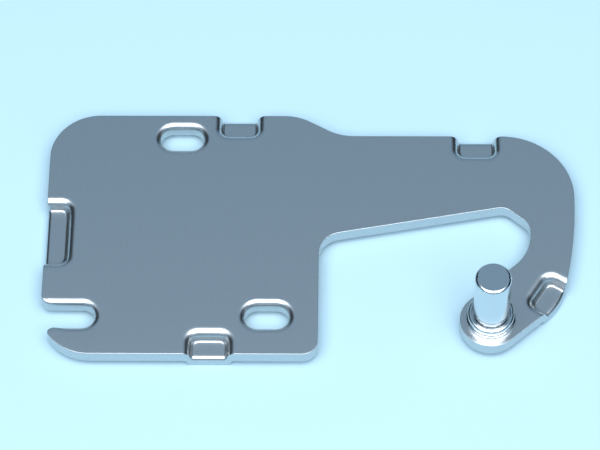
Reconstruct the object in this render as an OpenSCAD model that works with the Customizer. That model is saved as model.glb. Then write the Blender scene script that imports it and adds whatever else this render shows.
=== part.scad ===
// Door hinge: a pressed steel plate that is screwed to a cabinet, with a riveted pin for the door's bush.
// The origin is on the pin's axis, at the lower end of the round length that the bush turns on.
// +X runs along the plate towards its hooked end, +Y runs to its back edge, and +Z is the pin's free end.

/* [Sheet] */
// Thickness of the steel sheet
sheet_t = 3.5; // [3:0.1:5]

/* [Body] */
// Distance from the pin's axis to the body's outer edge
body_out = 99.9; // [92:0.1:110]
// Width of the body along X
body_w = 61.7; // [58:0.1:63]
// Distance from the pin's axis to the body's front edge
body_front = 9; // [8:0.1:11]
// Depth of the body along Y
body_d = 63.15; // [61:0.05:68]
// Radius of the body's two outer corners
body_r = 11.2; // [10:0.1:12]
// Radius of the body's front corner beside the hook
leg_r = 3.5; // [1:0.5:6]

/* [Arm] */
// How far the arm's back edge is set in from the body's
arm_step = 5.5; // [4.5:0.1:7]
// Distance from the body's outer edge to the start of the slope between those two edges
step_at = 56.7; // [56:0.1:60]
// Angle of that slope
step_angle = 30; // [25:1:35]
// Radius at both ends of that slope
step_r = 12; // [6:0.5:12]
// Distance from the pin's axis to the arm's far end
arm_end = 19.55; // [18:0.05:24]
// Radius of the arm's far back corner
arm_r = 16.3; // [10:0.1:16.3]
// Distance from the arm's back edge to the bend in its far end
end_bend_y = 26.5; // [26.5:0.1:28]
// Angle of that bend
end_bend_angle = 11; // [9:0.5:11]
// Radius of that bend
end_bend_r = 105; // [80:1:105]
// Radius of the elbow between the far end and the finger
elbow_r = 16; // [12:0.5:18]

/* [Hook] */
// Length of the body's inner edge, from the front edge to the arm
hook_d = 30.7; // [29:0.1:32]
// Slope of the arm's front edge
hook_slope = 10.5; // [8:0.5:12]
// Radius between the body's inner edge and the arm
hook_r = 5.5; // [3:0.5:8]
// Distance from the pin's axis to the inside of the hook
hook_in = 9.4; // [9:0.1:10]
// Length of the hook's inside, up to its bevelled corner
hook_side = 7.4; // [7:0.1:8]
// Angle of that bevel
bevel_angle = 40.5; // [35:0.5:50]
// Radius at both ends of that bevel
bevel_r = 3.7; // [2:0.1:4]
// Radius of the large curve behind the pin
hook_curve_r = 10.9; // [8:0.1:11]
// Angle of the finger that carries the pin
finger_angle = 41.5; // [40:0.5:43]
// Radius of the finger's round end, which is half its width
finger_r = 6.8; // [6.2:0.1:7]

/* [Slots] */
// Width of the screw slots
slot_w = 6; // [4.5:0.1:6.5]
// Length of the two closed slots
slot_l = 10; // [8:0.5:11]
// Distance from the body's outer edge to the middle of the front slot
front_slot_x = 50.3; // [48:0.1:52]
// Distance from the body's front edge to the middle of the front slot and of the open slot
front_slot_y = 9.85; // [9.5:0.05:11]
// Distance from the front slot to the back slot, towards the body's outer edge
slot_dx = 20.2; // [18:0.1:24]
// Distance from the front slot to the back slot, towards the body's back edge
slot_dy = 47.15; // [44:0.05:47.5]
// Depth of the open slot, from the body's outer edge to its round end
open_slot_d = 12.1; // [10:0.1:16]
// Radius at the open slot's mouth
mouth_r = 2; // [1:0.1:3]
// Radius of the lip under the open slot's mouth
lip_r = 1.3; // [0.8:0.1:1.8]
// Width of the rounded rim that punching leaves round a slot
rim_w = 1.5; // [0.6:0.1:1.6]
// Height of that rounded rim
rim_h = 1.1; // [0.4:0.1:1.4]

/* [Feet] */
// How far a foot's floor is pressed in below the top face
press_d = 2.5; // [2.2:0.1:2.8]
// How far a foot stands out below the bottom face
foot_h = 1.6; // [1.2:0.1:2]
// Length of a short foot's floor along the edge
foot_l = 6.7; // [5:0.1:8]
// Length of the long foot's floor along the edge
long_foot_l = 13.6; // [8:0.1:16]
// Reach of a foot's floor in from the edge
foot_reach = 4.2; // [3.5:0.1:5]
// Radius in plan of a floor's inner corners
foot_corner_r = 1; // [0.9:0.1:1.6]
// Slope of a foot's wall
wall_angle = 80; // [75:1:85]
// Radius of the roll from the top face into a foot's wall
roll_r = 2; // [1.2:0.1:2]
// Radius between a foot's wall and its floor
floor_r = 0.7; // [0.3:0.1:0.7]
// Radius of the roll over a floor's outer edge
foot_edge_r = 1; // [0.5:0.1:1.1]
// How far a foot's underside is wider than its floor, on each side
foot_spread = 0.7; // [0.4:0.1:1.2]
// Distance from the body's outer edge to the middle of the back foot
back_foot_x = 43.2; // [42.5:0.1:45]
// Distance from the body's outer edge to the middle of the front foot
front_foot_x = 37.6; // [36:0.1:38]
// Distance from the body's front edge to the middle of the long foot
long_foot_y = 31.4; // [29:0.1:36]
// Distance from the arm's far end to the middle of the arm's foot
arm_foot_x = 22; // [21.5:0.1:26]
// Direction that the elbow's foot faces, turned back from +X
elbow_foot_angle = 32; // [28:0.5:33]

/* [Pin] */
// Diameter of the pin where the door's bush turns
pin_d = 8; // [7:0.1:8.4]
// Height of the pin above the plate's top face
pin_h = 18; // [14:0.5:24]
// Radius round the pin's free end
pin_top_r = 0.9; // [0.3:0.1:1.5]
// How much the neck is cut in from the pin's side, and the radius that ends the cut
neck_in = 0.35; // [0.3:0.05:0.5]
// Height of the neck that shows above the collar
neck_h = 0.65; // [0.4:0.05:1.5]
// Diameter of the collar's lower bead, which seats on the plate
collar_d = 11; // [10.8:0.1:11.6]
// Height of the collar
collar_h = 3.2; // [2.8:0.1:4]
// Height of the crease between the collar's two beads
crease_z = 1.25; // [1:0.05:1.5]
// Width of that crease
crease_w = 0.3; // [0.1:0.05:0.4]
// Depth of that crease
crease_in = 0.5; // [0.45:0.05:0.6]
// How much smaller the upper bead is than the lower one, on each side
bead_in = 0.3; // [0.1:0.05:0.35]
// Radius of the lower bead's edge
low_bead_r = 0.4; // [0.1:0.05:0.45]
// Radius over the upper bead
bead_r = 0.75; // [0.3:0.05:0.8]
// Width of the groove between the neck and the upper bead
groove_w = 0.7; // [0.6:0.05:0.8]
// Depth of that groove, from the collar's top
groove_d = 1; // [0.6:0.1:1.5]
// Diameter of the rivet tail through the plate
tail_d = 6; // [5:0.1:6.5]
// Diameter of the rivet head, which is flush with the bottom face
head_d = 8.4; // [7.2:0.1:9]

/* [Hidden] */
// Smoothness of the circles
$fn = 96;
// Degrees in one step of a curve with a radius of 1 mm. Larger curves take smaller steps.
curve_step = 12;
// Overlap of the cutters past a face
over = 0.5;

// Heights, down from the origin to the feet
top_z = -(collar_h + neck_h + neck_in);
bottom_z = top_z - sheet_t;
rest_z = bottom_z - foot_h;

// Edges of the body and of the arm
left_x = -body_out;
right_x = left_x + body_w;
front_y = -body_front;
back_y = front_y + body_d;
arm_y = back_y - arm_step;

// Slots
slot_r = slot_w / 2;
front_slot = [left_x + front_slot_x, front_y + front_slot_y];
back_slot = front_slot + [-slot_dx, slot_dy];
open_slot = [left_x + open_slot_d - slot_r, front_slot.y];
rim_r = (rim_w * rim_w + rim_h * rim_h) / (2 * rim_h);

// Pin
pin_r = pin_d / 2;
neck_r = pin_r - neck_in;
collar_r = collar_d / 2;
upper_r = collar_r - bead_in;
tail_r = tail_d / 2;
head_r = head_d / 2;
head_h = head_r - tail_r;

function xy(p) = [p.x, p.y];
function unit(v) = v / norm(v);
function along(a) = [cos(a), sin(a)];

// Where the line through p at angle a meets the line through q at angle b
function meet(p, a, q, b) = p + along(a) * cross(q - p, along(b)) / cross(along(a), along(b));

// The points of the arc with radius b[2] that rounds corner b between its neighbours a and c
function corner(a, b, c) =
    b[2] == 0 ? [xy(b)] :
    let (
        to_a = unit(xy(a) - xy(b)),
        to_c = unit(xy(c) - xy(b)),
        half = acos(to_a * to_c) / 2,
        centre = xy(b) + unit(to_a + to_c) * b[2] / sin(half),
        spoke = xy(b) + to_a * b[2] / tan(half) - centre,
        turn = -sign(cross(to_a, to_c)) * (180 - 2 * half),
        steps = ceil(abs(turn) * sqrt(b[2]) / curve_step)
    )
    [for (i = [0:steps]) let (t = turn * i / steps)
        centre + [spoke.x * cos(t) - spoke.y * sin(t), spoke.x * sin(t) + spoke.y * cos(t)]];

// A polygon from corners that are each [x, y, radius]
module rounded(corners) {
    n = len(corners);
    polygon([for (i = [0:n - 1]) each corner(corners[(i + n - 1) % n], corners[i], corners[(i + 1) % n])]);
}

// The finger runs from the pin to the elbow: its inner side lies on side 1, its outer side on side -1
function finger_side(side) = side * finger_r * along(finger_angle + 90);
function finger_tip(side) = finger_side(side) - finger_r * along(finger_angle);
hook_bend = meet(finger_side(1), finger_angle, [hook_in, 0], 90);
bevel_low = hook_bend + [0, hook_side];
hook_start = [right_x, front_y + hook_d];
bevel_high = meet(hook_start, hook_slope, bevel_low, 180 - bevel_angle);

// The elbow, and the centre of its arc
end_bend = [arm_end, arm_y - end_bend_y];
end_angle = 90 - end_bend_angle;
elbow = meet(end_bend, end_angle, finger_side(-1), finger_angle);
elbow_centre = elbow + along((end_angle + finger_angle) / 2 + 90)
    * elbow_r / cos((end_angle - finger_angle) / 2);

// The plate's outline, clockwise from its outer back corner
outline = [
    [left_x, back_y, body_r],
    [left_x + step_at, back_y, step_r],
    [left_x + step_at + arm_step / tan(step_angle), arm_y, step_r],
    [arm_end, arm_y, arm_r],
    [each end_bend, end_bend_r],
    [each elbow, elbow_r],
    [each finger_tip(-1), finger_r],
    [each finger_tip(1), finger_r],
    [each hook_bend, hook_curve_r],
    [each bevel_low, bevel_r],
    [each bevel_high, bevel_r],
    [each hook_start, hook_r],
    [right_x, front_y, leg_r],
    [left_x, front_y, body_r],
];

// The feet, each with the middle of its outer edge, the direction that it faces, and its floor's length
feet = [
    [[left_x + back_foot_x, back_y], 90, foot_l],
    [[arm_end - arm_foot_x, arm_y], 90, foot_l],
    [elbow_centre + elbow_r * along(-elbow_foot_angle), -elbow_foot_angle, foot_l],
    [[left_x + front_foot_x, front_y], -90, foot_l],
    [[left_x, front_y + long_foot_y], 180, long_foot_l],
];

// Half of a slot's rolled rim in section, out from the slot's middle and down from the top face
module rim_section() {
    difference() {
        translate([0, -rim_h]) square([slot_r + rim_w, rim_h + over]);
        translate([slot_r + rim_w, -rim_r]) circle(r = rim_r);
    }
}

// A slot from its round end at the origin along +X, with the rolled rim at the top face
module half_slot(length) {
    translate([0, 0, bottom_z - over]) linear_extrude(sheet_t + 2 * over) {
        circle(r = slot_r);
        translate([0, -slot_r]) square([length, slot_w]);
    }
    translate([0, 0, top_z]) {
        rotate([0, 0, 90]) rotate_extrude(angle = 180) rim_section();
        for (s = [0, 1]) mirror([0, s, 0])
            rotate([90, 0, 90]) linear_extrude(length) rim_section();
    }
}

module closed_slot() {
    half = slot_l / 2 - slot_r;
    for (s = [0, 180]) rotate([0, 0, s]) translate([-half, 0, 0]) half_slot(half);
}

// What rounds the open slot's mouth: the corner above it, and the lip where it breaks into the body's corner
module mouth_outline() {
    mouth = [left_x + mouth_r, open_slot.y + slot_r + mouth_r];
    centre = [left_x + body_r, front_y + body_r];
    lip_y = open_slot.y - slot_r - lip_r;
    lip = [centre.x - sqrt(pow(body_r - lip_r, 2) - pow(centre.y - lip_y, 2)), lip_y];
    touch = centre + unit(lip - centre) * body_r;
    out_x = left_x - over;
    difference() {
        translate([out_x, open_slot.y]) square([mouth.x - out_x, mouth.y - open_slot.y]);
        translate(mouth) circle(r = mouth_r);
    }
    difference() {
        polygon([[out_x, open_slot.y], [lip.x, open_slot.y], lip, touch, [out_x, touch.y]]);
        translate(lip) circle(r = lip_r);
    }
}

module slots() {
    for (p = [front_slot, back_slot]) translate(p) closed_slot();
    translate(open_slot) rotate([0, 0, 180]) half_slot(open_slot_d - slot_r + over);
    translate([0, 0, bottom_z - over]) linear_extrude(sheet_t + 2 * over) mouth_outline();
}

// A pressing's wall in section, out from the edge of its floor and up to a height of drop
module wall_section(back, drop, roll, fillet, wall) {
    straight = (drop - (roll + fillet) * (1 - cos(wall))) / sin(wall);
    low = fillet * [sin(wall), 1 - cos(wall)];
    high = low + straight * along(wall);
    run = high.x + roll * sin(wall);
    difference() {
        union() {
            polygon([[-back, 0], [0, 0], low, high, [run, drop], [run, drop + over], [-back, drop + over]]);
            translate([0, fillet]) circle(r = fillet);
        }
        translate([run, drop - roll]) circle(r = roll);
    }
}

// A pressing that faces +X: its floor starts past the edge at x = 0, reaches in from there, and has two corners
module pressing(length, reach, drop, roll, fillet, wall) {
    c = foot_corner_r;
    half = length / 2;
    past = 2 * over;
    for (s = [0, 1]) mirror([0, s, 0]) {
        translate([c - reach, half, 0]) rotate([90, 0, 90]) linear_extrude(reach - c + past)
            wall_section(half, drop, roll, fillet, wall);
        translate([c - reach, half - c, 0]) rotate([0, 0, 90]) rotate_extrude(angle = 90)
            translate([c, 0]) wall_section(c, drop, roll, fillet, wall);
    }
    translate([-reach, c - half, 0]) rotate([90, 0, 180]) linear_extrude(length - 2 * c)
        wall_section(c, drop, roll, fillet, wall);
}

module feet_undersides() {
    intersection() {
        for (f = feet) translate([each f[0], rest_z]) rotate([0, 0, f[1]])
            pressing(f[2] + 2 * foot_spread, foot_reach + foot_spread, foot_h, foot_h / 2, foot_h / 2, 90);
        translate([0, 0, rest_z - over]) linear_extrude(foot_h + 2 * over) rounded(outline);
    }
}

module feet_floors() {
    for (f = feet) translate([each f[0], top_z - press_d]) rotate([0, 0, f[1]]) {
        pressing(f[2], foot_reach, press_d, roll_r, floor_r, wall_angle);
        translate([0, f[2] / 2, 0]) rotate([90, 0, 0]) linear_extrude(f[2]) difference() {
            translate([-foot_edge_r, -foot_edge_r]) square(foot_edge_r + over);
            translate([-foot_edge_r, -foot_edge_r]) circle(r = foot_edge_r);
        }
    }
}

module rivet_hole() {
    translate([0, 0, bottom_z - over]) cylinder(r = tail_r, h = sheet_t + 2 * over);
    translate([0, 0, bottom_z]) cylinder(r1 = head_r, r2 = tail_r, h = head_h);
}

module hinge_plate() {
    color("lightsteelblue") difference() {
        union() {
            translate([0, 0, bottom_z]) linear_extrude(sheet_t) rounded(outline);
            feet_undersides();
        }
        feet_floors();
        slots();
        rivet_hole();
    }
}

module hinge_pin() {
    color("silver") translate([0, 0, top_z]) rotate_extrude() rounded([
        [0, -sheet_t, 0],
        [head_r, -sheet_t, 0],
        [tail_r, head_h - sheet_t, 0],
        [tail_r, 0, 0],
        [collar_r, 0, 0],
        [collar_r, crease_z - crease_w / 2, low_bead_r],
        [collar_r - crease_in, crease_z, 0],
        [upper_r, crease_z + crease_w / 2, 0],
        [upper_r, collar_h, bead_r],
        [neck_r + groove_w, collar_h, 0],
        [neck_r + groove_w, collar_h - groove_d, groove_w / 3],
        [neck_r, collar_h - groove_d, groove_w / 3],
        [neck_r, collar_h + neck_h, 0],
        [pin_r, collar_h + neck_h, neck_in],
        [pin_r, pin_h, pin_top_r],
        [0, pin_h, 0],
    ]);
}

hinge_plate();
hinge_pin();
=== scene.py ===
"""A zinc plated door hinge: a pressed plate with five feet and three screw slots, and its riveted pin."""

import math

import bpy
from bpy.props import FloatProperty, FloatVectorProperty, PointerProperty
from bpy.types import Operator, Panel, PropertyGroup
from mathutils import Matrix, Vector


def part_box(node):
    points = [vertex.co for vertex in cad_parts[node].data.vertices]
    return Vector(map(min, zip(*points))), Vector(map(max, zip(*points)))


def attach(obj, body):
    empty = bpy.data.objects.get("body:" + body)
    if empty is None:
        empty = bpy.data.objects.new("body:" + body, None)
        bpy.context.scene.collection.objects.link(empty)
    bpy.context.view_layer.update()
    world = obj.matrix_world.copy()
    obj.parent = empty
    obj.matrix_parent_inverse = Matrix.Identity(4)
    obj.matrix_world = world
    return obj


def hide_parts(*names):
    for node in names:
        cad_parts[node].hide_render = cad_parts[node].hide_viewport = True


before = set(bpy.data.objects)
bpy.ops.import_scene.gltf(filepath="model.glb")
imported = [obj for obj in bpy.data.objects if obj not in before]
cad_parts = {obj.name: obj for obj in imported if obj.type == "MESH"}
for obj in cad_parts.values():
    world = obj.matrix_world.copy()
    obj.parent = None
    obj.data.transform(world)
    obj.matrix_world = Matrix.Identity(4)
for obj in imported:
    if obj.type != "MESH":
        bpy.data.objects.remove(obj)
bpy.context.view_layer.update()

bl_info = {
    "name": "Plated Door Hinge",
    "version": (1, 0, 0),
    "blender": (4, 5, 0),
    "location": "View3D > Sidebar > Hinge",
    "description": "Dresses the packed door hinge: its pressed plate, its riveted pin and the studio round them",
    "category": "Object",
}

MM = 0.001

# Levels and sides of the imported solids
PLATE_LOW, PLATE_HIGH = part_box("hinge_plate")
PIN_LOW, PIN_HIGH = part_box("hinge_pin")
TOP_FACE = PLATE_HIGH.z
UNDERSIDE = PIN_LOW.z
FLOOR = PLATE_LOW.z
OUTER_SIDE = PLATE_LOW.x
FRONT_SIDE = PLATE_LOW.y
BACK_SIDE = PLATE_HIGH.y
ARM_END = PLATE_HIGH.x


def size(name, description, millimetres):
    return FloatProperty(name=name, description=description, unit="LENGTH", default=millimetres * MM)


def angle(name, description, degrees):
    return FloatProperty(
        name=name, description=description, subtype="ANGLE", default=math.radians(degrees)
    )


def colour(name, description, red, green, blue):
    return FloatVectorProperty(
        name=name, description=description, subtype="COLOR", min=0, max=1, default=(red, green, blue)
    )


class HingePlateSettings(PropertyGroup):
    """Sizes and colours of the pressed plate"""

    body_w: size("Body width", "Width of the body along the plate", 61.7)
    body_r: size("Body corners", "Radius of the body's two outer corners", 11.2)
    leg_r: size("Front corner", "Radius of the front corner beside the hook", 3.5)
    arm_step: size("Arm step", "How far the arm's back edge is set in from the body's", 5.5)
    step_at: size("Step place", "Distance from the outer side to the start of the step's slope", 56.7)
    step_angle: angle("Step slope", "Angle of the slope between the two back edges", 30)
    step_r: size("Step radius", "Radius at both ends of that slope", 12)
    arm_r: size("Arm corner", "Radius of the arm's far back corner", 16.3)
    end_bend_y: size("End bend", "Distance from the arm's back edge to the bend in its far end", 26.5)
    end_bend_angle: angle("End bend turn", "Angle of that bend", 11)
    end_bend_r: size("End bend radius", "Radius of that bend", 105)
    elbow_r: size("Elbow", "Radius of the elbow between the far end and the finger", 16)
    hook_d: size("Hook depth", "Length of the body's inner edge", 30.7)
    hook_slope: angle("Hook slope", "Slope of the arm's front edge", 10.5)
    hook_r: size("Hook corner", "Radius between the body's inner edge and the arm", 5.5)
    hook_in: size("Hook inside", "Distance from the pin's axis to the inside of the hook", 9.4)
    hook_side: size("Hook side", "Length of the hook's inside, up to its bevelled corner", 7.4)
    bevel_angle: angle("Hook bevel", "Angle of that bevel", 40.5)
    bevel_r: size("Bevel radius", "Radius at both ends of that bevel", 3.7)
    hook_curve_r: size("Curve behind the pin", "Radius of the large curve behind the pin", 10.9)
    finger_angle: angle("Finger", "Angle of the finger that carries the pin", 41.5)
    finger_r: size("Finger end", "Radius of the finger's round end", 6.8)
    slot_w: size("Slot width", "Width of the screw slots", 6)
    slot_l: size("Slot length", "Length of the two closed slots", 10)
    front_slot_x: size("Front slot", "Distance from the outer side to the middle of the front slot", 50.3)
    front_slot_y: size("Slot line", "Distance from the front side to the middle of the front slot", 9.85)
    slot_dx: size("Back slot out", "Distance from the front slot out to the back slot", 20.2)
    slot_dy: size("Back slot back", "Distance from the front slot back to the back slot", 47.15)
    open_slot_d: size("Open slot", "Depth of the open slot, from the outer side to its round end", 12.1)
    mouth_r: size("Mouth", "Radius at the open slot's mouth", 2)
    lip_r: size("Lip", "Radius of the lip under the open slot's mouth", 1.3)
    rim_w: size("Rim width", "Width of the rounded rim that punching leaves round a slot", 1.5)
    rim_h: size("Rim height", "Height of that rim", 1.1)
    press_d: size("Pressing", "How far a foot's floor is pressed in below the top face", 2.5)
    foot_l: size("Foot", "Length of a short foot's floor along the edge", 6.7)
    long_foot_l: size("Long foot", "Length of the long foot's floor along the edge", 13.6)
    foot_reach: size("Foot reach", "Reach of a foot's floor in from the edge", 4.2)
    foot_corner_r: size("Foot corner", "Radius in plan of a floor's inner corners", 1)
    foot_spread: size("Foot spread", "How far a foot's underside is wider than its floor", 0.7)
    foot_edge_r: size("Foot edge", "Radius of the roll over a floor's outer edge", 1)
    roll_r: size("Foot roll", "Radius of the roll from the top face into a foot's wall", 2)
    floor_r: size("Foot fillet", "Radius between a foot's wall and its floor", 0.7)
    wall_angle: angle("Foot wall", "Slope of a foot's wall", 80)
    back_foot_x: size("Back foot", "Distance from the outer side to the middle of the back foot", 43.2)
    front_foot_x: size("Front foot", "Distance from the outer side to the middle of the front foot", 37.6)
    long_foot_y: size("Long foot place", "Distance from the front side to the long foot's middle", 31.4)
    arm_foot_x: size("Arm foot", "Distance from the arm's far end to the middle of its foot", 22)
    elbow_foot_angle: angle("Elbow foot", "Direction that the elbow's foot faces, below the plate's length", 32)
    tail_d: size("Rivet hole", "Diameter of the hole for the rivet tail", 6)
    head_d: size("Countersink", "Diameter of the countersink for the rivet head", 8.4)
    burr: size("Burr", "Radius left along the sheared edge of the top face", 0.12)
    low_edge: size("Lower edge", "Radius along the edges of the underside", 0.3)
    zinc: colour("Zinc", "Colour of the zinc plating on the sheet", 0.55, 0.58, 0.60)
    grain: size("Grain", "Size of the grains in the zinc", 0.35)


class HingePinSettings(PropertyGroup):
    """Colours of the turned pin"""

    zinc: colour("Bright zinc", "Colour of the zinc plating on the pin", 0.66, 0.69, 0.71)


class HingeStageSettings(PropertyGroup):
    """Camera, lamps and floor"""

    elevation: angle("Elevation", "Angle of the camera's view down onto the plate", 58)
    turn: angle("Turn", "Turn of the camera round the upright", 2.115)
    roll: angle("Roll", "Roll of the camera about its own line of sight", -1.63)
    distance: size("Distance", "Distance from the camera to the middle of the plate", 719.35)
    aim_x: size("Aim along", "Point that the camera looks at, along the plate from the pin's axis", -42.5)
    aim_y: size("Aim back", "Point that the camera looks at, back from the pin's axis", 24.5)
    lens: FloatProperty(
        name="Lens", description="Focal length in millimetres, for a sensor 36 mm wide", default=191.4
    )
    floor_colour: colour("Floor", "Colour of the floor", 0.50, 0.72, 0.84)


# The plate's outline, clockwise as lines and arcs


def along(turned):
    return Vector((math.cos(turned), math.sin(turned)))


def meet(p, a, q, b):
    """Where the line through p at angle a meets the line through q at angle b."""
    return p + along(a) * (q - p).cross(along(b)) / along(a).cross(along(b))


class Stretch:
    """A line or an arc of the outline, with how strongly the punch rolled its edge at either end"""

    def __init__(self, length, place, steps=1, rolled=(0, 0)):
        self.length = length
        self.place = place
        self.steps = steps
        self.rolled = rolled


def line(start, end, steps=1, rolled=(0, 0)):
    way = (end - start).normalized()
    outward = Vector((-way.y, way.x))
    return Stretch((end - start).length, lambda d: (start + way * d, outward), steps, rolled)


def arc(centre, radius, first, turn, rolled=(0, 0)):
    """An arc from the angle first. It turns clockwise round a corner, and the other way into a notch."""
    length = radius * abs(turn)
    side = -math.copysign(1, turn)

    def place(d):
        spoke = along(first + turn * d / length)
        return centre + spoke * radius, spoke * side

    steps = math.ceil(math.degrees(abs(turn)) * math.sqrt(radius / MM) / 9)
    return Stretch(length, place, steps, rolled)


def corner(a, b, radius, c):
    """The arc that rounds corner b between its neighbours a and c."""
    to_a = (a - b).normalized()
    to_c = (c - b).normalized()
    half = to_a.angle(to_c) / 2
    centre = b + (to_a + to_c).normalized() * radius / math.sin(half)
    spoke = b + to_a * radius / math.tan(half) - centre
    turn = -math.copysign(math.pi - 2 * half, to_a.cross(to_c))
    return arc(centre, radius, math.atan2(spoke.y, spoke.x), turn)


def ends(stretch):
    return stretch.place(0)[0], stretch.place(stretch.length)[0]


class PlatePlan:
    """Where everything lies on the plate, seen from above"""

    def __init__(self, s):
        self.settings = s
        right = OUTER_SIDE + s.body_w
        arm_back = BACK_SIDE - s.arm_step
        slope_end = OUTER_SIDE + s.step_at + s.arm_step / math.tan(s.step_angle)
        finger_out = along(s.finger_angle + math.pi / 2) * s.finger_r
        finger_back = along(s.finger_angle) * s.finger_r
        hook_bend = meet(finger_out, s.finger_angle, Vector((s.hook_in, 0)), math.pi / 2)
        bevel_low = hook_bend + Vector((0, s.hook_side))
        hook_start = Vector((right, FRONT_SIDE + s.hook_d))
        bevel_high = meet(hook_start, s.hook_slope, bevel_low, math.pi - s.bevel_angle)
        end_bend = Vector((ARM_END, arm_back - s.end_bend_y))
        end_angle = math.pi / 2 - s.end_bend_angle
        elbow = meet(end_bend, end_angle, -finger_out, s.finger_angle)
        elbow_in = along((end_angle + s.finger_angle) / 2 + math.pi / 2)
        elbow_centre = elbow + elbow_in * s.elbow_r / math.cos((end_angle - s.finger_angle) / 2)
        corners = (
            (Vector((OUTER_SIDE, BACK_SIDE)), s.body_r),
            (Vector((OUTER_SIDE + s.step_at, BACK_SIDE)), s.step_r),
            (Vector((slope_end, arm_back)), s.step_r),
            (Vector((ARM_END, arm_back)), s.arm_r),
            (end_bend, s.end_bend_r),
            (elbow, s.elbow_r),
            (-finger_out - finger_back, s.finger_r),
            (finger_out - finger_back, s.finger_r),
            (hook_bend, s.hook_curve_r),
            (bevel_low, s.bevel_r),
            (bevel_high, s.bevel_r),
            (hook_start, s.hook_r),
            (Vector((right, FRONT_SIDE)), s.leg_r),
        )
        last = Vector((OUTER_SIDE, FRONT_SIDE))
        points = [last] + [p for p, r in corners] + [last]
        arcs = [corner(points[i], p, r, points[i + 2]) for i, (p, r) in enumerate(corners)]
        self.slot_r = s.slot_w / 2
        front_slot = Vector((OUTER_SIDE + s.front_slot_x, FRONT_SIDE + s.front_slot_y))
        self.closed_slots = (front_slot, front_slot + Vector((-s.slot_dx, s.slot_dy)))
        slot = Vector((OUTER_SIDE + s.open_slot_d - self.slot_r, front_slot.y))
        self.stretches = self.joined(arcs) + self.open_slot(slot, ends(arcs[-1])[1])
        start = ends(self.stretches[-1])[1]
        self.stretches.append(line(start, ends(arcs[0])[0]))
        self.feet = (
            Foot(self, Vector((OUTER_SIDE + s.back_foot_x, BACK_SIDE)), math.pi / 2, s.foot_l),
            Foot(self, Vector((ARM_END - s.arm_foot_x, arm_back)), math.pi / 2, s.foot_l),
            Foot(
                self,
                elbow_centre + along(-s.elbow_foot_angle) * s.elbow_r,
                -s.elbow_foot_angle,
                s.foot_l,
            ),
            Foot(self, Vector((OUTER_SIDE + s.front_foot_x, FRONT_SIDE)), -math.pi / 2, s.foot_l),
            Foot(self, Vector((OUTER_SIDE, FRONT_SIDE + s.long_foot_y)), math.pi, s.long_foot_l),
        )

    def joined(self, arcs):
        """The arcs with the straight lines between them."""
        found = []
        for this, following in zip(arcs, arcs[1:]):
            found.append(this)
            found.append(line(ends(this)[1], ends(following)[0]))
        return found + [arcs[-1]]

    def open_slot(self, slot, start):
        """The front outer corner with the open slot that breaks into it, from the end of the front edge."""
        s = self.settings
        quarter = math.pi / 2
        body = Vector((OUTER_SIDE + s.body_r, FRONT_SIDE + s.body_r))
        lip_y = slot.y - self.slot_r - s.lip_r
        lip_x = body.x - math.sqrt((s.body_r - s.lip_r) ** 2 - (body.y - lip_y) ** 2)
        lip = Vector((lip_x, lip_y))
        lip_angle = math.atan2(lip.y - body.y, lip.x - body.x)
        mouth = Vector((OUTER_SIDE + s.mouth_r, slot.y + self.slot_r + s.mouth_r))
        lip_top = lip + Vector((0, s.lip_r))
        fade_end = lip_top + Vector((3 * MM, 0))
        under = slot - Vector((0, self.slot_r))
        above = slot + Vector((0, self.slot_r))
        return [
            line(start, body - Vector((0, s.body_r))),
            arc(body, s.body_r, -quarter, lip_angle + quarter),
            arc(lip, s.lip_r, lip_angle, -(lip_angle + 3 * quarter), (0, 0.5)),
            line(lip_top, fade_end, 6, (0.5, 1)),
            line(fade_end, under, 1, (1, 1)),
            arc(slot, self.slot_r, -quarter, 2 * quarter, (1, 1)),
            line(above, mouth - Vector((0, s.mouth_r)), 1, (1, 1)),
            arc(mouth, s.mouth_r, -quarter, -quarter, (1, 0)),
        ]

    def length(self):
        return sum(stretch.length for stretch in self.stretches)

    def at(self, distance):
        """Point, outward direction and strength of the punch's roll at a distance round the outline."""
        distance %= self.length()
        for stretch in self.stretches:
            if distance <= stretch.length:
                break
            distance -= stretch.length
        point, outward = stretch.place(distance)
        share = distance / stretch.length
        share = share * share * (3 - 2 * share)
        first, last = stretch.rolled
        return point, outward, first + (last - first) * share

    def distance_to(self, point):
        """Distance round the outline to the place nearest a point."""
        best = (math.inf, 0)
        start = 0
        for stretch in self.stretches:
            tries = max(stretch.steps * 20, math.ceil(stretch.length / MM))
            for i in range(tries + 1):
                d = stretch.length * i / tries
                best = min(best, ((stretch.place(d)[0] - point).length, start + d))
            start += stretch.length
        return best[1]


def wall_profile(drop, roll, fillet, wall):
    """Points down a pressing's wall, each out from its floor's edge and up from its floor."""
    straight = (drop - (roll + fillet) * (1 - math.cos(wall))) / math.sin(wall)
    low_x = fillet * math.sin(wall)
    low_z = fillet * (1 - math.cos(wall))
    high_x = low_x + straight * math.cos(wall)
    high_z = low_z + straight * math.sin(wall)
    run = high_x + roll * math.sin(wall)
    points = []
    for i in range(6):
        t = wall * i / 5
        points.append((fillet * math.sin(t), fillet * (1 - math.cos(t))))
    for i in range(11):
        t = wall * (1 - i / 10)
        points.append((run - roll * math.sin(t), drop - roll * (1 - math.cos(t))))
    return points


def height_on(profile, out):
    """Height of a wall at a distance out from its floor's edge."""
    if out <= profile[0][0]:
        return profile[0][1]
    for (x0, z0), (x1, z1) in zip(profile, profile[1:]):
        if out <= x1:
            return z0 + (z1 - z0) * (out - x0) / (x1 - x0)
    return profile[-1][1]


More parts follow.
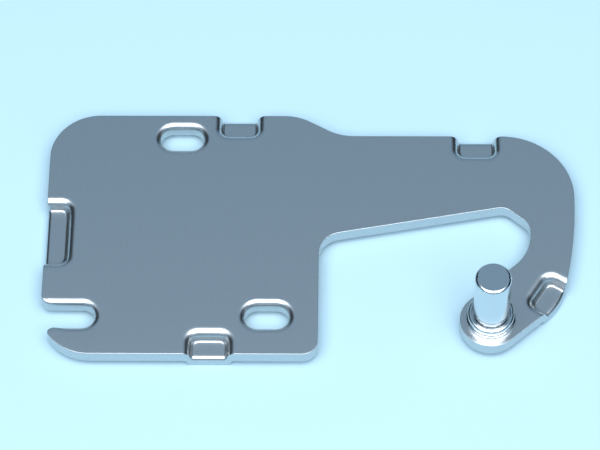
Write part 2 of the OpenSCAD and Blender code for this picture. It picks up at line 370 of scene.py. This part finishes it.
class Foot:
    """A foot pressed down at the plate's edge, in its own directions: out over the edge, and along it"""

    def __init__(self, plan, middle, faces, length):
        s = plan.settings
        self.settings = s
        self.origin = middle
        self.out = along(faces)
        self.side = Vector((self.out.y, -self.out.x))
        self.half = length / 2
        self.corner = s.foot_corner_r
        self.top = wall_profile(s.press_d, s.roll_r, s.floor_r, s.wall_angle)
        drop = TOP_FACE - UNDERSIDE
        self.foot_h = UNDERSIDE - FLOOR
        under_r = self.foot_h / 2
        self.low = wall_profile(self.foot_h, under_r, under_r, math.radians(89))
        margin = 0.4 * MM
        reach = max(self.top[-1][0], s.foot_spread + self.low[-1][0]) + margin
        steps = {0}
        for out, up in self.top:
            steps.add(self.half + out)
        for out, up in self.low:
            steps.add(self.half + s.foot_spread + out)
        for i in range(1, 7):
            steps.add(self.half * i / 7)
        steps.add(self.half + reach)
        ordered = []
        for step in sorted(steps):
            if not ordered or step - ordered[-1] > 0.03 * MM:
                ordered.append(step)
        self.steps = [-step for step in reversed(ordered) if step > 0] + ordered
        self.centre = plan.distance_to(middle)
        self.distances = [self.find(plan, step) for step in self.steps]
        self.rows_top = self.rows([out for out, up in self.top], s.foot_reach, reach)
        self.rows_low = self.rows(
            [out for out, up in self.low], s.foot_reach + s.foot_spread, reach
        )

    def find(self, plan, step):
        """Distance round the outline at which the edge lies that far along the foot."""
        low = self.centre - abs(step) * 1.6 - MM
        high = self.centre + abs(step) * 1.6 + MM
        for i in range(40):
            middle = (low + high) / 2
            if (plan.at(middle)[0] - self.origin).dot(self.side) < step:
                low = middle
            else:
                high = middle
        return (low + high) / 2

    def rows(self, outs, floor_end, reach):
        """Rows across the foot, by their distance in from the edge's tangent."""
        first = floor_end - self.corner
        rows = [first + self.corner * i / 4 for i in range(4)]
        rows += [floor_end + out for out in outs]
        return rows + [floor_end + reach]

    def out_from_floor(self, point, half, floor_end):
        """How far outside its floor's edge a point lies."""
        local = point - self.origin
        across = max(abs(local.dot(self.side)) - (half - self.corner), 0)
        inward = max(-local.dot(self.out) - (floor_end - self.corner), 0)
        return math.hypot(across, inward) - self.corner

    def top_z(self, point):
        out = self.out_from_floor(point, self.half, self.settings.foot_reach)
        return TOP_FACE - self.settings.press_d + height_on(self.top, out)

    def low_z(self, point):
        spread = self.settings.foot_spread
        out = self.out_from_floor(point, self.half + spread, self.settings.foot_reach + spread)
        return FLOOR + height_on(self.low, out)


class Station:
    """One place round the plate's edge, with the roundings above and below it"""

    def __init__(self, plan, distance, foot=None):
        s = plan.settings
        point, outward, rolled = plan.at(distance)
        self.point = point
        self.inward = -outward
        self.roll_w = s.burr + (s.rim_w - s.burr) * rolled
        self.roll_h = s.burr + (s.rim_h - s.burr) * rolled
        self.top = TOP_FACE
        self.low = UNDERSIDE
        self.low_r = s.low_edge
        if foot:
            self.inward = -foot.out
            self.top = foot.top_z(point)
            self.low = foot.low_z(point)
            sunk = (TOP_FACE - self.top) / s.press_d
            self.roll_w = s.burr + (s.foot_edge_r - s.burr) * sunk ** 1.5
            self.roll_h = self.roll_w

    def edge_points(self):
        """Points over the edge, from the top face round to the underside."""
        found = []
        for i in range(7):
            t = math.pi / 2 * i / 6
            inward = self.roll_w * (1 - math.sin(t))
            found.append((inward, self.top - self.roll_h * (1 - math.cos(t))))
        for i in range(5):
            t = math.pi / 2 * (1 - i / 4)
            inward = self.low_r * (1 - math.sin(t))
            found.append((inward, self.low + self.low_r * (1 - math.cos(t))))
        return [Vector((*(self.point + self.inward * inward), z)) for inward, z in found]


class MeshBuilder:
    """Collects points and faces"""

    def __init__(self):
        self.points = []
        self.faces = []

    def add(self, point):
        self.points.append(point)
        return len(self.points) - 1

    def add_row(self, points):
        return [self.add(point) for point in points]

    def bridge(self, row, following):
        for a, b, c, d in zip(row, row[1:], following[1:], following):
            self.faces.append((a, b, c, d))

    def loft(self, rings):
        """Faces between closed rings of points, one after the other."""
        for ring, following in zip(rings, rings[1:]):
            self.bridge(ring + ring[:1], following + following[:1])

    def build(self, name):
        mesh = bpy.data.meshes.new(name)
        mesh.from_pydata(self.points, [], self.faces)
        thing = bpy.data.objects.new(name, mesh)
        bpy.context.scene.collection.objects.link(thing)
        return thing


def plate_stations(plan):
    """The stations round the outline, each as its distance and the foot that it crosses."""
    found = []
    start = 0
    for stretch in plan.stretches:
        for i in range(stretch.steps):
            found.append((start + stretch.length * i / stretch.steps, None))
        start += stretch.length
    for foot in plan.feet:
        first, last = foot.distances[0], foot.distances[-1]
        found = [(d, f) for d, f in found if f or not first - 0.2 * MM < d < last + 0.2 * MM]
        found += [(d, foot) for d in foot.distances]
    return sorted(found, key=lambda item: item[0])


def foot_patch(builder, stations, edge_row, rows, height):
    """The pressed face of a foot as a grid from its edge inward. Returns its columns."""
    columns = []
    for station, foot, first in zip(stations["station"], stations["foot"], edge_row):
        edge = builder.points[first]
        start = -(edge.xy - foot.origin).dot(foot.out)
        along_foot = (edge.xy - foot.origin).dot(foot.side)
        column = [first]
        spread = 4
        depths = [start + (rows[0] - start) * i / spread for i in range(1, spread)] + rows
        for depth in depths:
            plan_point = foot.origin + foot.side * along_foot - foot.out * depth
            column.append(builder.add(Vector((*plan_point, height(plan_point)))))
        columns.append(column)
    for column, following in zip(columns, columns[1:]):
        builder.bridge(column, following)
    return columns


def slot_rings(builder, s, middle):
    """A closed slot from its rolled rim down to the underside. Returns its top and bottom rings."""
    radius = s.slot_w / 2
    half = s.slot_l / 2 - radius
    steps = 24
    spokes = []
    for i in range(2 * steps + 2):
        side = 1 if i <= steps else -1
        turned = math.pi * (i if i <= steps else i - 1) / steps - math.pi / 2
        spokes.append((middle + Vector((side * half, 0)), along(turned)))
    levels = rim_levels(s)
    rings = []
    for out, z in levels:
        rings.append(builder.add_row([Vector((*(c + n * (radius + out)), z)) for c, n in spokes]))
    builder.loft(rings)
    return rings[0], rings[-1]


def rim_levels(s):
    """A closed slot's wall in section, out from the slot and up, from the top face to the underside."""
    curve = (s.rim_w ** 2 + s.rim_h ** 2) / (2 * s.rim_h)
    turned = math.asin(s.rim_w / curve)
    levels = []
    for i in range(10):
        t = turned * i / 9
        levels.append((s.rim_w - curve * math.sin(t), TOP_FACE - curve * (1 - math.cos(t))))
    edge = s.low_edge / 2
    for i in range(4):
        t = math.pi / 2 * i / 3
        levels.append((edge * (1 - math.cos(t)), UNDERSIDE + edge * (1 - math.sin(t))))
    return levels


def hole_rings(builder, s):
    """The countersunk hole that the rivet fills. Returns its top and bottom rings."""
    tail = s.tail_d / 2
    head = s.head_d / 2
    spokes = [along(2 * math.pi * i / 48) for i in range(48)]
    rings = []
    for radius, z in ((tail, TOP_FACE), (tail, UNDERSIDE + head - tail), (head, UNDERSIDE)):
        rings.append(builder.add_row([Vector((*(spoke * radius), z)) for spoke in spokes]))
    builder.loft(rings)
    return rings[0], rings[-1]


def deselect():
    for shown in bpy.context.selected_objects:
        shown.select_set(False)


def activate(thing):
    deselect()
    thing.select_set(True)
    bpy.context.view_layer.objects.active = thing


def fill_between(thing, loops):
    """Fills the flat face that lies between an outer loop of points and the loops inside it."""
    bpy.ops.object.mode_set(mode="OBJECT")
    wanted = set()
    for loop in loops:
        for a, b in zip(loop, loop[1:] + loop[:1]):
            wanted.add((min(a, b), max(a, b)))
    bpy.ops.object.mode_set(mode="EDIT")
    bpy.ops.mesh.select_mode(type="EDGE")
    bpy.ops.mesh.select_all(action="DESELECT")
    bpy.ops.object.mode_set(mode="OBJECT")
    for edge in thing.data.edges:
        edge.select = tuple(sorted(edge.vertices)) in wanted
    bpy.ops.object.mode_set(mode="EDIT")
    bpy.ops.mesh.fill(use_beauty=True)
    bpy.ops.object.mode_set(mode="OBJECT")


def build_plate(settings):
    plan = PlatePlan(settings)
    builder = MeshBuilder()
    places = plate_stations(plan)
    stations = [Station(plan, d, foot) for d, foot in places]
    strips = [builder.add_row(station.edge_points()) for station in stations]
    for strip, following in zip(strips, strips[1:] + strips[:1]):
        builder.bridge(strip, following)
    top_loop, low_loop = [], []
    i = 0
    while i < len(places):
        foot = places[i][1]
        if not foot:
            top_loop.append(strips[i][0])
            low_loop.append(strips[i][-1])
            i += 1
            continue
        span = [k for k in range(len(places)) if places[k][1] is foot]
        info = {"station": [stations[k] for k in span], "foot": [foot] * len(span)}
        top = foot_patch(builder, info, [strips[k][0] for k in span], foot.rows_top, foot.top_z)
        low = foot_patch(builder, info, [strips[k][-1] for k in span], foot.rows_low, foot.low_z)
        for loop, columns in ((top_loop, top), (low_loop, low)):
            loop += columns[0]
            loop += [column[-1] for column in columns[1:-1]]
            loop += reversed(columns[-1])
        i = span[-1] + 1
    inner = [slot_rings(builder, settings, middle) for middle in plan.closed_slots]
    inner.append(hole_rings(builder, settings))
    plate = builder.build("pressed_plate")
    activate(plate)
    fill_between(plate, [top_loop] + [top for top, low in inner])
    fill_between(plate, [low_loop] + [low for top, low in inner])
    bpy.ops.object.mode_set(mode="EDIT")
    bpy.ops.mesh.select_all(action="SELECT")
    bpy.ops.mesh.normals_make_consistent(inside=False)
    bpy.ops.object.mode_set(mode="OBJECT")
    return plate


def copy_of_node(node, name):
    """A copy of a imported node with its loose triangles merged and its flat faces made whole."""
    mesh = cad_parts[node].data.copy()
    mesh.name = name
    thing = bpy.data.objects.new(name, mesh)
    bpy.context.scene.collection.objects.link(thing)
    thing.data.materials.clear()
    activate(thing)
    bpy.ops.object.mode_set(mode="EDIT")
    bpy.ops.mesh.select_all(action="SELECT")
    bpy.ops.mesh.remove_doubles(threshold=0.001 * MM)
    bpy.ops.mesh.dissolve_limited(angle_limit=math.radians(0.1))
    bpy.ops.object.mode_set(mode="OBJECT")
    return thing


def smooth(thing, turned):
    activate(thing)
    bpy.ops.object.shade_smooth_by_angle(angle=turned)
    weighted = thing.modifiers.new("Flat faces stay flat", "WEIGHTED_NORMAL")
    weighted.keep_sharp = True
    weighted.weight = 100
    bpy.ops.object.modifier_apply(modifier=weighted.name)


def new_material(name):
    material = bpy.data.materials.new(name)
    material.use_nodes = True
    return material, material.node_tree.nodes, material.node_tree.links


def plate_zinc(settings):
    material, nodes, links = new_material("plate_zinc")
    shader = nodes["Principled BSDF"]
    shader.inputs["Metallic"].default_value = 1
    shader.inputs["Roughness"].default_value = 0.3
    place = nodes.new("ShaderNodeTexCoord")
    grain = nodes.new("ShaderNodeTexNoise")
    grain.inputs["Scale"].default_value = 1 / settings.grain
    grain.inputs["Detail"].default_value = 3
    links.new(place.outputs["Object"], grain.inputs["Vector"])
    tint = nodes.new("ShaderNodeMix")
    tint.data_type = "RGBA"
    tint.inputs["A"].default_value = (*[c * 0.85 for c in settings.zinc], 1)
    tint.inputs["B"].default_value = (*[min(c * 1.15, 1) for c in settings.zinc], 1)
    links.new(grain.outputs["Fac"], tint.inputs["Factor"])
    links.new(tint.outputs["Result"], shader.inputs["Base Color"])
    bump = nodes.new("ShaderNodeBump")
    bump.inputs["Strength"].default_value = 0.25
    bump.inputs["Distance"].default_value = 0.02 * MM
    links.new(grain.outputs["Fac"], bump.inputs["Height"])
    links.new(bump.outputs["Normal"], shader.inputs["Normal"])
    return material


def pin_zinc(settings):
    material, nodes, links = new_material("pin_zinc")
    shader = nodes["Principled BSDF"]
    shader.inputs["Metallic"].default_value = 1
    shader.inputs["Roughness"].default_value = 0.16
    shader.inputs["Base Color"].default_value = (*settings.zinc, 1)
    return material


class HINGE_OT_plate(Operator):
    """Makes the pressed plate, with its edges rounded and its zinc plating"""

    bl_idname = "hinge.plate"
    bl_label = "Pressed Plate"

    def execute(self, context):
        settings = context.scene.hinge_plate
        plate = build_plate(settings)
        smooth(plate, math.radians(50))
        plate.data.materials.append(plate_zinc(settings))
        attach(plate, "root")
        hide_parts("hinge_plate")
        return {"FINISHED"}


class HINGE_OT_pin(Operator):
    """Makes the riveted pin, with its bright plating"""

    bl_idname = "hinge.pin"
    bl_label = "Riveted Pin"

    def execute(self, context):
        settings = context.scene.hinge_pin
        pin = copy_of_node("hinge_pin", "riveted_pin")
        smooth(pin, math.radians(30))
        pin.data.materials.append(pin_zinc(settings))
        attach(pin, "root")
        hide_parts("hinge_pin")
        return {"FINISHED"}


def floor_paint(settings):
    material, nodes, links = new_material("floor_paper")
    shader = nodes["Principled BSDF"]
    shader.inputs["Base Color"].default_value = (*settings.floor_colour, 1)
    shader.inputs["Roughness"].default_value = 0.8
    shader.inputs["Specular IOR Level"].default_value = 0.1
    return material


def flag_paint():
    material, nodes, links = new_material("black_flag")
    shader = nodes["Principled BSDF"]
    shader.inputs["Base Color"].default_value = (0.01, 0.01, 0.012, 1)
    shader.inputs["Roughness"].default_value = 1
    shader.inputs["Specular IOR Level"].default_value = 0
    return material


def add_plane(name, extent, place, facing, paint):
    """A flat card of that width and height at a place, which faces a point."""
    deselect()
    bpy.ops.mesh.primitive_plane_add(size=1)
    card = bpy.context.active_object
    card.name = name
    turn = (Vector(facing) - Vector(place)).to_track_quat("Z", "Y").to_matrix().to_4x4()
    card.data.transform(Matrix.Translation(place) @ turn @ Matrix.Diagonal((*extent, 1, 1)))
    card.data.materials.append(paint)
    return card


def add_lamp(name, extent, place, facing, strength, tint):
    deselect()
    bpy.ops.object.light_add(type="AREA", location=place)
    lamp = bpy.context.active_object
    lamp.name = name
    lamp.data.shape = "RECTANGLE"
    lamp.data.size, lamp.data.size_y = extent
    lamp.data.energy = strength
    lamp.data.color = tint
    lamp.rotation_euler = (Vector(facing) - Vector(place)).to_track_quat("-Z", "Y").to_euler()
    return lamp


class HINGE_OT_stage(Operator):
    """Lays the floor, sets the lamps and places the camera"""

    bl_idname = "hinge.stage"
    bl_label = "Studio"

    def execute(self, context):
        settings = context.scene.hinge_stage
        scene = context.scene
        aim = Vector((settings.aim_x, settings.aim_y, TOP_FACE))
        paint = floor_paint(settings)
        add_plane("floor", (6, 6), (aim.x, aim.y, FLOOR), (aim.x, aim.y, 1), paint)
        flag = flag_paint()
        for side in (-1, 1):
            place = aim + Vector((side * 0.7, 0.35, 0.3))
            card = add_plane(f"flag_{side + 2}", (1.0, 0.7), place, aim, flag)
            card.visible_camera = False
            card.visible_shadow = False
        add_lamp("softbox", (1.2, 0.9), aim + Vector((0, -0.35, 0.9)), aim, 14, (1, 1, 1))
        world = bpy.data.worlds.new("studio")
        scene.world = world
        world.use_nodes = True
        backdrop = world.node_tree.nodes["Background"]
        backdrop.inputs["Color"].default_value = (0.25, 0.38, 0.50, 1)
        backdrop.inputs["Strength"].default_value = 1.0
        deselect()
        bpy.ops.object.camera_add()
        camera = context.active_object
        turned = (
            Matrix.Rotation(settings.turn, 4, "Z")
            @ Matrix.Rotation(math.pi / 2 - settings.elevation, 4, "X")
            @ Matrix.Rotation(settings.roll, 4, "Z")
        )
        back = turned @ Vector((0, 0, settings.distance))
        camera.matrix_world = Matrix.Translation(aim + back) @ turned
        camera.data.lens = settings.lens
        camera.data.sensor_width = 36
        scene.camera = camera
        scene.view_settings.view_transform = "Standard"
        return {"FINISHED"}


class HINGE_PT_panel(Panel):
    """Lists the hinge's pieces and the studio"""

    bl_label = "Plated Door Hinge"
    bl_idname = "HINGE_PT_panel"
    bl_space_type = "VIEW_3D"
    bl_region_type = "UI"
    bl_category = "Hinge"

    def draw(self, context):
        for group, operator in (
            ("hinge_plate", HINGE_OT_plate),
            ("hinge_pin", HINGE_OT_pin),
            ("hinge_stage", HINGE_OT_stage),
        ):
            box = self.layout.box()
            settings = getattr(context.scene, group)
            for name in settings.bl_rna.properties.keys():
                if name not in ("rna_type", "name"):
                    box.prop(settings, name)
            box.operator(operator.bl_idname)


GROUPS = (
    ("hinge_plate", HingePlateSettings),
    ("hinge_pin", HingePinSettings),
    ("hinge_stage", HingeStageSettings),
)
OPERATORS = (HINGE_OT_plate, HINGE_OT_pin, HINGE_OT_stage)


def register():
    for name, group in GROUPS:
        bpy.utils.register_class(group)
        setattr(bpy.types.Scene, name, PointerProperty(type=group))
    for operator in OPERATORS:
        bpy.utils.register_class(operator)
    bpy.utils.register_class(HINGE_PT_panel)


def unregister():
    bpy.utils.unregister_class(HINGE_PT_panel)
    for operator in reversed(OPERATORS):
        bpy.utils.unregister_class(operator)
    for name, group in reversed(GROUPS):
        delattr(bpy.types.Scene, name)
        bpy.utils.unregister_class(group)


def main():
    register()
    bpy.ops.hinge.plate()
    bpy.ops.hinge.pin()
    bpy.ops.hinge.stage()


if __name__ == "__main__":
    main()
